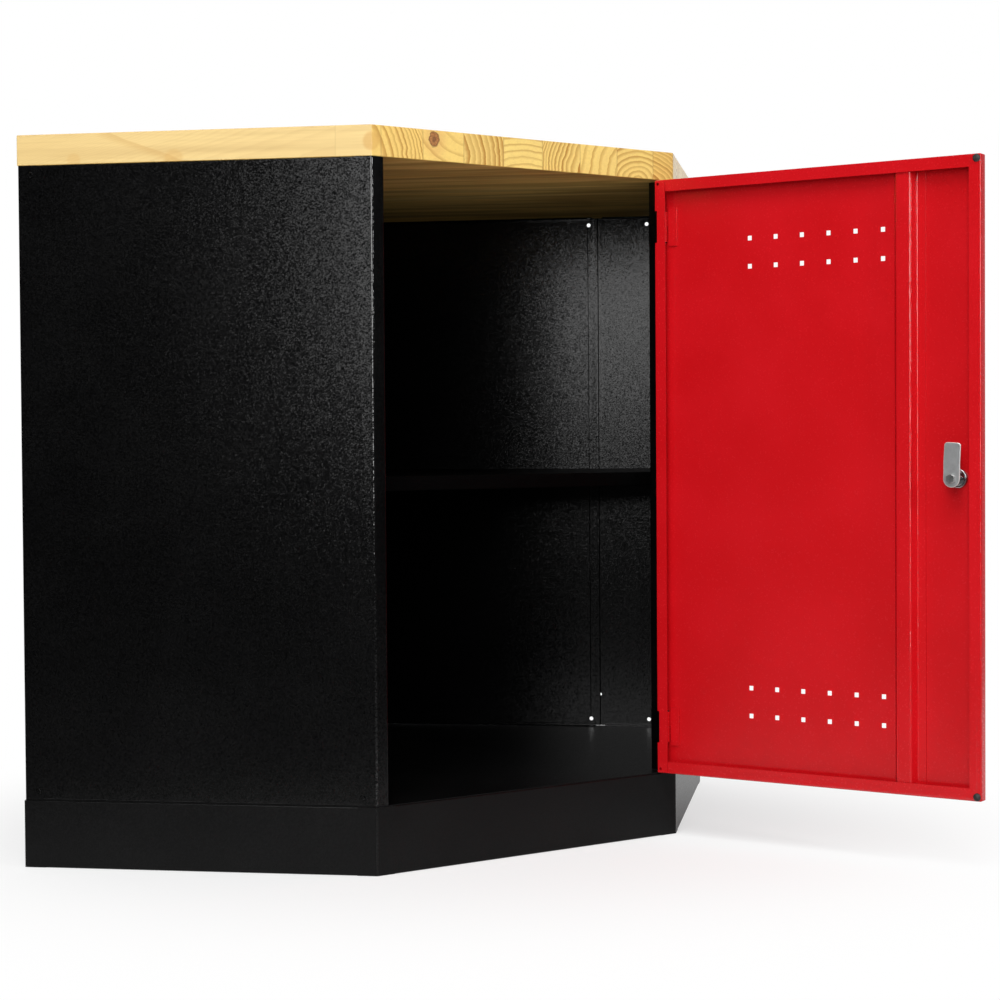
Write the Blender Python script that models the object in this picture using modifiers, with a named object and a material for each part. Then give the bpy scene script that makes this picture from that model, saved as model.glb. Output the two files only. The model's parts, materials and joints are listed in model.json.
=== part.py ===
"""Corner storage cabinet: folded sheet-steel body on a plinth, timber worktop, one door with a cam lock.

Units are metres, with +Z up. The origin is the corner of the room at floor level: one wall runs along +X,
the other along -Y, and the door closes the slanting front between the two side panels.
"""
from math import ceil, cos, pi, radians, sin, sqrt

import bmesh
import bpy
from mathutils import Matrix, Vector

# Overall sizes
WALL_LENGTH = 0.785
SIDE_DEPTH = 0.450
HEIGHT = 0.910
WORKTOP_THICKNESS = 0.038
WORKTOP_EASE = 0.0012
PLINTH_HEIGHT = 0.0835

# Sheet metal
SHEET = 0.001
INNER_BEND = 0.0005
SEAT = 0.0003
BODY_FLANGE = 0.018
FLANGE_RELIEF = 0.006
PLINTH_FLANGE = 0.020
POST_FLANGE = 0.017
POST_RETURN = 0.030
REAR_WRAP = 0.152
SEAM_GAP = 0.0035
SEAM_LIP = 0.020
CORNER_LAP = 0.020
WALL_HOLE = 0.006
WALL_HOLE_RISE = 0.0102
WALL_HOLE_FROM_SEAM = 0.0165
WALL_HOLE_FROM_SIDE = 0.0785
SEAM_HOLE_RISE = 0.0483
SEAM_HOLE = 0.004

# Shelf
SHELF_TOP = 0.485
SHELF_LIP = 0.018
SHELF_HEM = 0.010
SHELF_CLEAR = 0.003
SHELF_BEHIND_POST = 0.004
BRACKET_LENGTH = 0.080
BRACKET_LEG = 0.015

# Door
DOOR_DEPTH = 0.0145
DOOR_LIP = 0.0155
DOOR_GAP = 0.003
DOOR_OVER_POST = 0.001
DOOR_FREE_MARGIN = 0.0055
DOOR_TOP_GAP = 0.0015
DOOR_BOTTOM_GAP = 0.002
DOOR_OPEN = radians(110.4)
DOOR_SWING = radians(120)
LIP_SEAM = 0.0006
LIP_HOLE = 0.004
LIP_HOLE_INSET = 0.0048
VENT = 0.006
VENT_COLUMNS = 6
VENT_ROWS = 2
VENT_PITCH_ACROSS = 0.0371
VENT_PITCH_UP = 0.0363
VENT_FROM_END = 0.0827
STIFFENER_FROM_EDGE = 0.102
STIFFENER_UNDER_LIP = 0.0012
STIFFENER_CROWN = 0.0185
STIFFENER_SLOPE = 0.0047
STIFFENER_FOOT = 0.0115
BUMPER_RADIUS = 0.0048
BUMPER_INSET = 0.0055
BUMPER_STEM = 0.002
BUMPER_BARB = 0.0026
FIT = 0.0002

# Hinges
HINGE_INSET = 0.0095
HINGE_FROM_END = 0.0613
PIN_RADIUS = 0.003
PIN_EASE = 0.0005
RUNNING_GAP = 0.0001
LEAF_SHEET = 0.0018
KNUCKLE_HEIGHT = 0.0395
LEAF_HEIGHT = 0.0505
LEAF_WIDTH = 0.0175
POST_LEAF_DEPTH = 0.027
KNUCKLE_TURN = radians(300)
NOTCH_PLAY = 0.00125
LIP_NOTCH_PLAY = 0.0005
SKIN_NOTCH_PLAY = 0.0002
NOTCH_STEP = 0.00005

# Lock
LOCK_FROM_EDGE = 0.034
LOCK_BARREL = 0.009
LOCK_FLANGE = 0.0115
LOCK_FLANGE_THICKNESS = 0.0025
LOCK_NUT = 0.012
LOCK_NUT_THICKNESS = 0.004
LOCK_PLUG = 0.006
KEYWAY_HEIGHT = 0.0075
KEYWAY_WIDTH = 0.0014
KEYWAY_DEPTH = 0.008
TANG = 0.007
CAM_BEHIND_LIP = 0.0085
CAM_SHEET = 0.0025
CAM_WIDTH = 0.0212
CAM_REACH = 0.0442
CAM_CRANK = 0.0014
CAM_TILT = radians(3)
CRANK_START = 0.010
CRANK_END = 0.018
CAM_CORNER = 0.004
CAM_BOLT_HEAD = 0.006
CAM_BOLT_HEIGHT = 0.004
CAM_BOLT_SHANK = 0.0025
STRIKE_PLAY = 0.0025

# Worked out from the sizes above
BEND = SHEET + INNER_BEND
LAP = SHEET + SEAT
RELIEF = BODY_FLANGE + FLANGE_RELIEF
FRONT_LENGTH = (WALL_LENGTH - SIDE_DEPTH) * sqrt(2)
FLOOR_BOTTOM = PLINTH_HEIGHT + SEAT
BODY_BOTTOM = FLOOR_BOTTOM + SHEET + SEAT
BODY_TOP = HEIGHT - WORKTOP_THICKNESS - SEAT
SEAM = WALL_LENGTH - REAR_WRAP
DOOR_BOTTOM = PLINTH_HEIGHT + DOOR_BOTTOM_GAP
DOOR_TOP = HEIGHT - WORKTOP_THICKNESS - DOOR_TOP_GAP
DOOR_MIDDLE = (DOOR_BOTTOM + DOOR_TOP) / 2
HINGE_HEIGHTS = {"lower": DOOR_BOTTOM + HINGE_FROM_END, "upper": DOOR_TOP - HINGE_FROM_END}
PIN_ALONG = POST_FLANGE - DOOR_OVER_POST + HINGE_INSET
PIN_OUT = DOOR_GAP + DOOR_DEPTH / 2
EDGE_HINGE = -HINGE_INSET
EDGE_FREE = FRONT_LENGTH - DOOR_FREE_MARGIN - PIN_ALONG
SKIN_OUT = DOOR_DEPTH / 2
SKIN_IN = SKIN_OUT - SHEET
LIP_OUT = -DOOR_DEPTH / 2
LIP_IN = LIP_OUT + SHEET
LOCK_ACROSS = EDGE_FREE - LOCK_FROM_EDGE
CAM_NEAR = LIP_OUT - CAM_BEHIND_LIP
CAM_FAR = CAM_NEAR - CAM_SHEET
KNUCKLE_INNER = PIN_RADIUS + RUNNING_GAP
KNUCKLE_OUTER = KNUCKLE_INNER + LEAF_SHEET
POST_LEAF_FACE = DOOR_OVER_POST - HINGE_INSET + SEAT + LEAF_SHEET
POST_LEAF_NEAR = LIP_IN + SEAT

# Plan directions of the slanting front
HINGE_CORNER = Vector((WALL_LENGTH, -SIDE_DEPTH))
ALONG = Vector((-1.0, -1.0)).normalized()
OUT = Vector((1.0, -1.0)).normalized()
CLOSED_TURN = radians(225)
SWAP_SIDES = Matrix(((0, -1, 0, 0), (-1, 0, 0, 0), (0, 0, 1, 0), (0, 0, 0, 1)))

PARTS = "corner_storage_cabinet"
CUTTERS = "cutters"


def clear_scene():
    for obj in list(bpy.data.objects):
        bpy.data.objects.remove(obj, do_unlink=True)


def collection(name):
    made = bpy.data.collections.new(name)
    bpy.context.scene.collection.children.link(made)
    return made


def material(name, color, roughness, metallic):
    made = bpy.data.materials.new(name)
    made.use_nodes = True
    shader = made.node_tree.nodes["Principled BSDF"]
    shader.inputs["Base Color"].default_value = (*color, 1.0)
    shader.inputs["Roughness"].default_value = roughness
    shader.inputs["Metallic"].default_value = metallic
    return made


def front(along, out):
    """Plan point of the front: along it from the hinge-side corner, and out from its plane."""
    return HINGE_CORNER + ALONG * along + OUT * out


def across(path):
    """The same path on the other side of the cabinet's symmetry plane, walked the other way."""
    return [Vector((-point.y, -point.x)) for point in reversed(path)]


def between(start, end, from_start, from_end):
    """Two points on the way from start to end, held back from both."""
    way = (end - start).normalized()
    return [start + way * from_start, end - way * from_end]


def arc(radius, first, turn, steps):
    """Plan points on a circle round the origin."""
    angles = [first + turn * step / steps for step in range(steps + 1)]
    return [Vector((radius * cos(angle), radius * sin(angle))) for angle in angles]


def wall(bm, path, heights):
    """Open sheet standing on a plan path, with its faces looking to the right of the way along it."""
    rows = [[bm.verts.new((point.x, point.y, height)) for point in path] for height in heights]
    for low, high in zip(rows, rows[1:]):
        for step in range(len(path) - 1):
            bm.faces.new((low[step], low[step + 1], high[step + 1], high[step]))
    return rows


def fold(bm, edge_ends, step):
    """Turn a flange out of a free edge by a step, and return the ends of the flange's own edge."""
    made = bmesh.ops.extrude_edge_only(bm, edges=[bm.edges.get(edge_ends)])["geom"]
    turned = [item for item in made if isinstance(item, bmesh.types.BMVert)]
    bmesh.ops.translate(bm, verts=turned, vec=step)
    return turned


def inward(low, high):
    """Level step to the left of the way from low to high, one unit long."""
    way = (high.co - low.co).normalized()
    return Vector((-way.y, way.x, 0.0))


def body_flanges(bm, rows, stretches, width):
    """Turn flanges in at the top and bottom of a standing sheet, along the stretches listed."""
    for row in (rows[0], rows[-1]):
        for stretch in stretches:
            ends = (row[stretch], row[stretch + 1])
            fold(bm, ends, inward(*ends) * width)


def box(bm, low, high):
    """Closed box between two corners."""
    size = Vector(high) - Vector(low)
    centre = (Vector(high) + Vector(low)) / 2
    place = Matrix.Translation(centre) @ Matrix.Diagonal((*size, 1.0))
    bmesh.ops.create_cube(bm, size=1.0, matrix=place)


def rod(bm, radius, start, end, sides):
    """Closed round bar between two points."""
    way = Vector(end) - Vector(start)
    turn = Vector((0, 0, 1)).rotation_difference(way).to_matrix().to_4x4()
    place = Matrix.Translation((Vector(start) + Vector(end)) / 2) @ turn
    bmesh.ops.create_cone(bm, cap_ends=True, segments=sides, radius1=radius, radius2=radius,
                          depth=way.length, matrix=place)


def add(name, bm, finish, group, parent=None):
    """Object from a bmesh, shaded smooth apart from its folds, in its collection."""
    mesh = bpy.data.meshes.new(name)
    bm.to_mesh(mesh)
    bm.free()
    mesh.shade_smooth()
    mesh.set_sharp_from_angle(angle=radians(35))
    obj = bpy.data.objects.new(name, mesh)
    if finish:
        mesh.materials.append(finish)
    group.objects.link(obj)
    obj.parent = parent
    return obj


def thicken(obj, thickness, side, bend=0.0):
    """Give an open sheet its thickness, with rounded folds where a bend is given."""
    if bend:
        rounding = obj.modifiers.new("bends", "BEVEL")
        rounding.width = bend
        rounding.segments = 2
        rounding.limit_method = "ANGLE"
        rounding.angle_limit = radians(25)
    shell = obj.modifiers.new("sheet", "SOLIDIFY")
    shell.thickness = thickness
    shell.offset = side
    shell.use_even_offset = True
    shell.use_quality_normals = True


def boolean(obj, tool, operation):
    change = obj.modifiers.new(tool.name, "BOOLEAN")
    change.object = tool
    change.operation = operation
    change.solver = "EXACT"


def tool_object(name, bm, group, parent=None):
    """Cutting or joining shape, kept out of the model itself."""
    bmesh.ops.recalc_face_normals(bm, faces=bm.faces)
    obj = add(name, bm, None, group, parent)
    obj.hide_render = True
    obj.display_type = "WIRE"
    return obj


def turned(name, profile, closed, sides, finish, group, parent, place):
    """Turned piece from a profile of radius and height, whose axis points out of the door."""
    bm = bmesh.new()
    points = [bm.verts.new((radius, 0.0, height)) for radius, height in profile]
    pairs = list(zip(points, points[1:]))
    if closed:
        pairs.append((points[-1], points[0]))
    for pair in pairs:
        bm.edges.new(pair)
    obj = add(name, bm, finish, group, parent)
    spin = obj.modifiers.new("turning", "SCREW")
    spin.steps = sides
    spin.render_steps = sides
    spin.use_merge_vertices = True
    spin.merge_threshold = 0.00001
    spin.use_smooth_shade = True
    obj.location = place
    obj.rotation_euler = (radians(-90), 0.0, 0.0)
    return obj


def worktop(finish, group):
    """Pentagon slab with eased edges."""
    bm = bmesh.new()
    plan = [Vector((0.0, 0.0)), Vector((0.0, -WALL_LENGTH)), front(FRONT_LENGTH, 0.0),
            front(0.0, 0.0), Vector((WALL_LENGTH, 0.0))]
    bm.faces.new([bm.verts.new((point.x, point.y, HEIGHT)) for point in plan])
    slab = add("worktop", bm, finish, group)
    thicken(slab, WORKTOP_THICKNESS, -1.0)
    easing = slab.modifiers.new("eased_edges", "BEVEL")
    easing.width = WORKTOP_EASE
    easing.segments = 2


def side_panel_path():
    """Plan of the lock-side panel: rear wrap, side, front flange and post return."""
    wrap_end = Vector((LAP, -SEAM))
    rear_corner = Vector((LAP, -WALL_LENGTH))
    front_corner = front(FRONT_LENGTH, 0.0)
    flange_end = front(FRONT_LENGTH - POST_FLANGE, 0.0)
    return_end = front(FRONT_LENGTH - POST_FLANGE, -POST_RETURN)
    wrap = between(wrap_end, rear_corner, FLANGE_RELIEF, RELIEF)
    side = between(rear_corner, front_corner, RELIEF, RELIEF)
    return [wrap_end, *wrap, rear_corner, *side, front_corner, flange_end, return_end]


def wall_holes(bm, run):
    """Round wall holes near the top and bottom of a rear sheet, drilled along Y."""
    for height in (BODY_BOTTOM + WALL_HOLE_RISE, BODY_TOP - WALL_HOLE_RISE):
        rod(bm, WALL_HOLE / 2, (run, LAP, height), (run, -2 * LAP, height), 16)


def side_panels(finish, group, cutters):
    path = side_panel_path()
    flanged = {"left_side_panel": (1, 4), "right_side_panel": (3, 6)}
    panels = {}
    for name, plan in (("left_side_panel", path), ("right_side_panel", across(path))):
        bm = bmesh.new()
        rows = wall(bm, plan, (BODY_BOTTOM, BODY_TOP))
        body_flanges(bm, rows, flanged[name], BODY_FLANGE)
        panels[name] = add(name, bm, finish, group)
        thicken(panels[name], SHEET, -1.0, BEND)
    # Wall holes of both rear wraps, drilled along +Y and turned across for the lock side
    for name in panels:
        bm = bmesh.new()
        wall_holes(bm, WALL_LENGTH - WALL_HOLE_FROM_SIDE)
        if name == "left_side_panel":
            bmesh.ops.transform(bm, matrix=SWAP_SIDES, verts=bm.verts)
        boolean(panels[name], tool_object(name + "_wall_holes", bm, cutters), "DIFFERENCE")
    boolean(panels["left_side_panel"], strike_slot(cutters), "DIFFERENCE")


def strike_slot(cutters):
    """Slot in the lock-side post return that the cam swings through."""
    bm = bmesh.new()
    cam_near = PIN_OUT + CAM_NEAR
    cam_far = PIN_OUT + CAM_FAR - CAM_CRANK
    low = (-2 * SHEET, cam_far - STRIKE_PLAY, -CAM_WIDTH / 2 - STRIKE_PLAY)
    high = (3 * SHEET, cam_near + STRIKE_PLAY, CAM_REACH + STRIKE_PLAY)
    box(bm, low, high)
    slot = tool_object("strike_slot", bm, cutters)
    place = front(FRONT_LENGTH - POST_FLANGE, 0.0)
    slot.location = (place.x, place.y, DOOR_MIDDLE)
    slot.rotation_euler = (0.0, 0.0, CLOSED_TURN)
    return slot


def rear_panels(finish, group, cutters):
    """Two sheets that meet in the room corner, each with a lip stepped back behind its seam."""
    lip_end = Vector((SEAM + SEAM_LIP, 0.0))
    lip_start = Vector((SEAM - SEAM_GAP + LAP, 0.0))
    sheet_start = Vector((SEAM - SEAM_GAP, -LAP))
    corner = Vector((LAP + SHEET + SEAT, -LAP))
    lap_end = corner - Vector((0.0, CORNER_LAP))
    main = between(sheet_start, corner, FLANGE_RELIEF, RELIEF)
    lipped = [lip_end, lip_start, sheet_start, *main, corner]
    butted = lipped[:-1] + [Vector((LAP, -LAP))]
    plans = {"right_rear_panel": (lipped + [lap_end], 3), "left_rear_panel": (across(butted), 1)}
    for name, (plan, stretch) in plans.items():
        bm = bmesh.new()
        rows = wall(bm, plan, (BODY_BOTTOM, BODY_TOP))
        body_flanges(bm, rows, (stretch,), BODY_FLANGE)
        panel = add(name, bm, finish, group)
        thicken(panel, SHEET, -1.0)
        holes = bmesh.new()
        wall_holes(holes, SEAM - WALL_HOLE_FROM_SEAM)
        seam_run = SEAM - SEAM_GAP / 2
        seam_rise = BODY_BOTTOM + SEAM_HOLE_RISE
        rod(holes, SEAM_HOLE / 2, (seam_run, LAP, seam_rise), (seam_run, -LAP, seam_rise), 12)
        if name == "left_rear_panel":
            bmesh.ops.transform(holes, matrix=SWAP_SIDES, verts=holes.verts)
        boolean(panel, tool_object(name + "_holes", holes, cutters), "DIFFERENCE")


def inset_plan(wall_inset, side_inset, front_inset):
    """Pentagon inside the cabinet, anticlockwise from the room corner."""
    reach = WALL_LENGTH + SIDE_DEPTH - front_inset * sqrt(2)
    side = WALL_LENGTH - side_inset
    return [Vector((wall_inset, -wall_inset)), Vector((wall_inset, -side)), Vector((reach - side, -side)),
            Vector((side, side - reach)), Vector((side, -wall_inset))]


def floor_panel(finish, group):
    """Flat sheet between the plinth and the flanges of the panels."""
    bm = bmesh.new()
    plan = inset_plan(SHEET, SHEET, SHEET / 2)
    bm.faces.new([bm.verts.new((point.x, point.y, FLOOR_BOTTOM + SHEET)) for point in plan])
    thicken(add("floor_panel", bm, finish, group), SHEET, -1.0)


def shelf(finish, group):
    """Tray turned down on all sides, with a hem under its front lip."""
    inside = LAP + SHEET + SHELF_CLEAR
    corners = inset_plan(inside, SHEET + SHELF_CLEAR, POST_RETURN + SHELF_BEHIND_POST)
    bm = bmesh.new()
    outline = []
    for corner, following in zip(corners, corners[1:] + corners[:1]):
        for point in (corner, *between(corner, following, FLANGE_RELIEF, FLANGE_RELIEF)):
            outline.append(bm.verts.new((point.x, point.y, SHELF_TOP)))
    bm.faces.new(outline)
    front_stretch = 2
    for stretch in range(len(corners)):
        ends = (outline[3 * stretch + 1], outline[3 * stretch + 2])
        step_in = inward(*ends)
        turned_down = fold(bm, ends, Vector((0.0, 0.0, -SHELF_LIP)))
        if stretch == front_stretch:
            fold(bm, tuple(turned_down), step_in * SHELF_HEM)
    thicken(add("shelf", bm, finish, group), SHEET, -1.0, BEND)


def shelf_brackets(finish, group):
    """Four angles on the walls, with their level legs under the shelf's turned-down edges."""
    half = BRACKET_LENGTH / 2
    leg_top = SHELF_TOP - SHELF_LIP - SEAT
    rear = LAP + SHEET + SEAT
    side = WALL_LENGTH - SHEET - SEAT
    middle_rear = -WALL_LENGTH / 2
    middle_side = SIDE_DEPTH / 2
    left_rear = [Vector((rear, middle_rear + half)), Vector((rear, middle_rear - half))]
    left_side = [Vector((middle_side - half, -side)), Vector((middle_side + half, -side))]
    stretches = {"left_rear_shelf_bracket": left_rear, "right_rear_shelf_bracket": across(left_rear),
                 "left_side_shelf_bracket": left_side, "right_side_shelf_bracket": across(left_side)}
    for name, stretch in stretches.items():
        bm = bmesh.new()
        rows = wall(bm, stretch, (leg_top - BRACKET_LEG, leg_top))
        fold(bm, tuple(rows[1]), inward(*rows[1]) * BRACKET_LEG)
        thicken(add(name, bm, finish, group), SHEET, -1.0, BEND)


def plinth(finish, group):
    """Skirt folded round the three open sides, and two channels along the walls."""
    relief = PLINTH_FLANGE + FLANGE_RELIEF
    left_end = Vector((LAP, -WALL_LENGTH))
    left_corner = front(FRONT_LENGTH, 0.0)
    right_corner = front(0.0, 0.0)
    right_end = Vector((WALL_LENGTH, -LAP))
    skirt = [left_end, *between(left_end, left_corner, relief, relief), left_corner,
             *between(left_corner, right_corner, relief, relief), right_corner,
             *between(right_corner, right_end, relief, relief), right_end]
    right_start = Vector((WALL_LENGTH, 0.0))
    room_corner = Vector((0.0, 0.0))
    right_channel = [right_start, between(right_start, room_corner, relief, 0.0)[0], room_corner]
    # The left channel butts against the flanges of the right one, which fill the room corner
    left_start = Vector((0.0, -PLINTH_FLANGE - SEAT))
    left_stop = Vector((0.0, -WALL_LENGTH))
    left_channel = [left_start, between(left_start, left_stop, 0.0, relief)[1], left_stop]
    pieces = {"plinth_skirt": (skirt, (1, 4, 7), BEND), "right_plinth_channel": (right_channel, (1,), 0.0),
              "left_plinth_channel": (left_channel, (0,), 0.0)}
    for name, (plan, stretches, bend) in pieces.items():
        bm = bmesh.new()
        rows = wall(bm, plan, (0.0, PLINTH_HEIGHT))
        body_flanges(bm, rows, stretches, PLINTH_FLANGE)
        thicken(add(name, bm, finish, group), SHEET, -1.0, bend)


def door_pivot(group):
    """Empty on the hinge axis: its X runs along the door to the free edge, its Y out of the door."""
    pivot = bpy.data.objects.new("door_pivot", None)
    place = front(PIN_ALONG, PIN_OUT)
    pivot.location = (place.x, place.y, 0.0)
    pivot.rotation_euler = (0.0, 0.0, CLOSED_TURN + DOOR_OPEN)
    group.objects.link(pivot)
    return pivot


def door_pan(finish, group, cutters, pivot):
    """Skin with four walls and four lips, pierced for the vents, the lock, the hinges and the bumpers."""
    bm = bmesh.new()
    corners = [(EDGE_HINGE, DOOR_BOTTOM), (EDGE_HINGE, DOOR_TOP),
               (EDGE_FREE, DOOR_TOP), (EDGE_FREE, DOOR_BOTTOM)]
    skin = bm.faces.new([bm.verts.new((run, SKIN_OUT, height)) for run, height in corners])
    rim = list(skin.edges)
    made = bmesh.ops.extrude_edge_only(bm, edges=rim)["geom"]
    walls = [item for item in made if isinstance(item, bmesh.types.BMVert)]
    bmesh.ops.translate(bm, verts=walls, vec=(0.0, -DOOR_DEPTH, 0.0))
    rim = [edge for edge in bm.edges if edge.is_boundary]
    made = bmesh.ops.extrude_edge_only(bm, edges=rim)["geom"]
    middle = (EDGE_HINGE + EDGE_FREE) / 2
    for vertex in made:
        if isinstance(vertex, bmesh.types.BMVert):
            vertex.co.x -= DOOR_LIP if vertex.co.x > middle else -DOOR_LIP
            vertex.co.z -= DOOR_LIP if vertex.co.z > DOOR_MIDDLE else -DOOR_LIP
    pan = add("door_pan", bm, finish, group, pivot)
    thicken(pan, SHEET, -1.0, BEND)
    boolean(pan, door_piercings(cutters, pivot), "DIFFERENCE")
    boolean(pan, hinge_notches(cutters, pivot), "DIFFERENCE")
    boolean(pan, lip_cuts(cutters, pivot), "DIFFERENCE")


def door_piercings(cutters, pivot):
    """Square vents in two blocks, and the round lock hole."""
    bm = bmesh.new()
    centre = (EDGE_HINGE + EDGE_FREE) / 2
    for column in range(VENT_COLUMNS):
        run = centre + (column - (VENT_COLUMNS - 1) / 2) * VENT_PITCH_ACROSS
        for row in range(VENT_ROWS):
            from_end = VENT_FROM_END + row * VENT_PITCH_UP
            for height in (DOOR_BOTTOM + from_end, DOOR_TOP - from_end):
                low = (run - VENT / 2, SKIN_IN - SHEET, height - VENT / 2)
                high = (run + VENT / 2, SKIN_OUT + SHEET, height + VENT / 2)
                box(bm, low, high)
    hole_ends = [(LOCK_ACROSS, depth, DOOR_MIDDLE) for depth in (SKIN_IN - SHEET, SKIN_OUT + SHEET)]
    rod(bm, LOCK_BARREL + FIT, *hole_ends, 28)
    return tool_object("door_piercings", bm, cutters, pivot)


def post_leaf_reach():
    """How far along the skin the post leaf's slant comes when the door is fully open, in whole steps."""
    start = Vector((POST_LEAF_FACE, POST_LEAF_NEAR))
    slant = Vector((-KNUCKLE_INNER, 0.0)) - start
    face = start + Vector((-slant.y, slant.x)).normalized() * LEAF_SHEET
    turn = Matrix.Rotation(-DOOR_SWING, 2)
    near = turn @ face
    run = turn @ slant
    reach = near.x + run.x * (SKIN_IN - near.y) / run.y
    return ceil(reach / NOTCH_STEP) * NOTCH_STEP


def hinge_notches(cutters, pivot):
    """Clear the fold at each hinge, so that the post leaf can swing through the skin's edge."""
    bm = bmesh.new()
    half = KNUCKLE_HEIGHT / 2 + NOTCH_PLAY
    outside = EDGE_HINGE - SHEET
    for height in HINGE_HEIGHTS.values():
        low = (outside, LIP_OUT - SHEET, height - half)
        high = (POST_LEAF_FACE + LIP_NOTCH_PLAY, SKIN_OUT + SHEET, height + half)
        box(bm, low, high)
    notches = tool_object("hinge_notches", bm, cutters, pivot)
    bm = bmesh.new()
    for height in HINGE_HEIGHTS.values():
        low = (POST_LEAF_FACE, SKIN_IN - SHEET, height - half)
        high = (post_leaf_reach() + SKIN_NOTCH_PLAY, SKIN_OUT + SHEET, height + half)
        box(bm, low, high)
    boolean(notches, tool_object("skin_notches", bm, cutters, pivot), "UNION")
    return notches


def lip_cuts(cutters, pivot):
    """Butt seams between the lips, bumper holes on the lock side and drain holes on the hinge side."""
    bm = bmesh.new()
    depth = (LIP_OUT - SHEET, LIP_IN + INNER_BEND)
    for end, inner in ((DOOR_BOTTOM, 1.0), (DOOR_TOP, -1.0)):
        run = EDGE_HINGE + DOOR_LIP
        heights = sorted((end + inner * 2 * BEND, end + inner * (DOOR_LIP + SHEET)))
        box(bm, (run, depth[0], heights[0]), (run + LIP_SEAM, depth[1], heights[1]))
        for run, radius in ((EDGE_FREE - BUMPER_INSET, BUMPER_STEM + FIT),
                            (EDGE_HINGE + LIP_HOLE_INSET, LIP_HOLE / 2)):
            height = end + inner * BUMPER_INSET
            rod(bm, radius, (run, depth[0], height), (run, depth[1], height), 16)
    return tool_object("lip_cuts", bm, cutters, pivot)


def door_stiffener(finish, group, pivot):
    """Hat channel from the lower wall of the door to the upper one."""
    foot = SKIN_IN - SEAT
    crown = LIP_IN + STIFFENER_UNDER_LIP + SHEET
    half_crown = STIFFENER_CROWN / 2
    half_hat = half_crown + STIFFENER_SLOPE
    half_width = half_hat + STIFFENER_FOOT
    centre = EDGE_FREE - STIFFENER_FROM_EDGE
    runs = (-half_width, -half_hat, -half_crown, half_crown, half_hat, half_width)
    depths = (foot, foot, crown, crown, foot, foot)
    path = [Vector((centre + run, depth)) for run, depth in zip(runs, depths)]
    end_gap = SHEET + SEAT
    bm = bmesh.new()
    wall(bm, path, (DOOR_BOTTOM + end_gap, DOOR_TOP - end_gap))
    thicken(add("door_stiffener", bm, finish, group, pivot), SHEET, 1.0, BEND)


def hinge_leaf(bm, plate, roll, plate_heights, roll_heights):
    """Flat plate whose near edge runs into a knuckle rolled round the pin."""
    wall(bm, plate, sorted(plate_heights + roll_heights))
    wall(bm, [plate[-1], *roll], roll_heights)
    bmesh.ops.remove_doubles(bm, verts=bm.verts, dist=0.00001)


def hinges(door_finish, post_finish, pin_finish, group, pivot):
    """Two lift-off hinges: the door's knuckle turns on a pin that stands in the post's knuckle."""
    half = KNUCKLE_HEIGHT / 2
    roll_steps = 18
    plate_face = SKIN_IN - SEAT - LEAF_SHEET
    door_plate = [Vector((LEAF_WIDTH, plate_face)), Vector((KNUCKLE_OUTER, plate_face))]
    door_roll = arc(KNUCKLE_INNER, radians(90), KNUCKLE_TURN, roll_steps)
    post_plate_far = LIP_OUT - DOOR_GAP - SHEET - POST_LEAF_DEPTH
    post_plate = [Vector((POST_LEAF_FACE, post_plate_far)),
                  Vector((POST_LEAF_FACE, POST_LEAF_NEAR))]
    post_roll = arc(KNUCKLE_INNER, radians(180), -KNUCKLE_TURN, roll_steps)
    pin_place = front(PIN_ALONG, PIN_OUT)
    for level, height in HINGE_HEIGHTS.items():
        bm = bmesh.new()
        plate_ends = [-LEAF_HEIGHT / 2, LEAF_HEIGHT / 2]
        hinge_leaf(bm, door_plate, door_roll, plate_ends, [SEAT / 2, half])
        leaf = add(level + "_hinge_door_leaf", bm, door_finish, group, pivot)
        leaf.location.z = height
        thicken(leaf, LEAF_SHEET, 1.0)
        bm = bmesh.new()
        hinge_leaf(bm, post_plate, post_roll, [half], [-half, -SEAT / 2])
        leaf = add(level + "_hinge_post_leaf", bm, post_finish, group)
        leaf.location = (pin_place.x, pin_place.y, height)
        leaf.rotation_euler = (0.0, 0.0, CLOSED_TURN)
        thicken(leaf, LEAF_SHEET, -1.0)
        bm = bmesh.new()
        rod(bm, PIN_RADIUS, (0.0, 0.0, -half), (0.0, 0.0, half), 28)
        pin = add(level + "_hinge_pin", bm, pin_finish, group)
        pin.location = (pin_place.x, pin_place.y, height)
        easing = pin.modifiers.new("eased_ends", "BEVEL")
        easing.width = PIN_EASE
        easing.segments = 1


def bumpers(finish, group, pivot):
    """Rubber domes that meet the lock-side post, each held by a barbed stem in the lip."""
    dome = DOOR_GAP - SEAT
    rounding = 4
    edge = dome * 0.4
    angles = [pi / 2 * step / rounding for step in range(rounding, -1, -1)]
    crown = [(BUMPER_RADIUS * cos(angle), edge + (dome - edge) * sin(angle)) for angle in angles]
    crown[0] = (0.0, dome)
    behind = -SEAT - SHEET - SEAT
    stem = [(BUMPER_RADIUS, SEAT / 2), (BUMPER_STEM, SEAT / 2), (BUMPER_STEM, behind),
            (BUMPER_BARB, behind - SEAT), (BUMPER_STEM, behind - 3 * BUMPER_BARB / 2),
            (0.0, behind - 3 * BUMPER_BARB / 2)]
    profile = crown + stem
    for level, height in (("lower", DOOR_BOTTOM + BUMPER_INSET), ("upper", DOOR_TOP - BUMPER_INSET)):
        place = (EDGE_FREE - BUMPER_INSET, LIP_OUT, height)
        dome_object = turned(level + "_bumper", profile, False, 20, finish, group, pivot, place)
        dome_object.rotation_euler = (radians(90), 0.0, 0.0)


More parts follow.
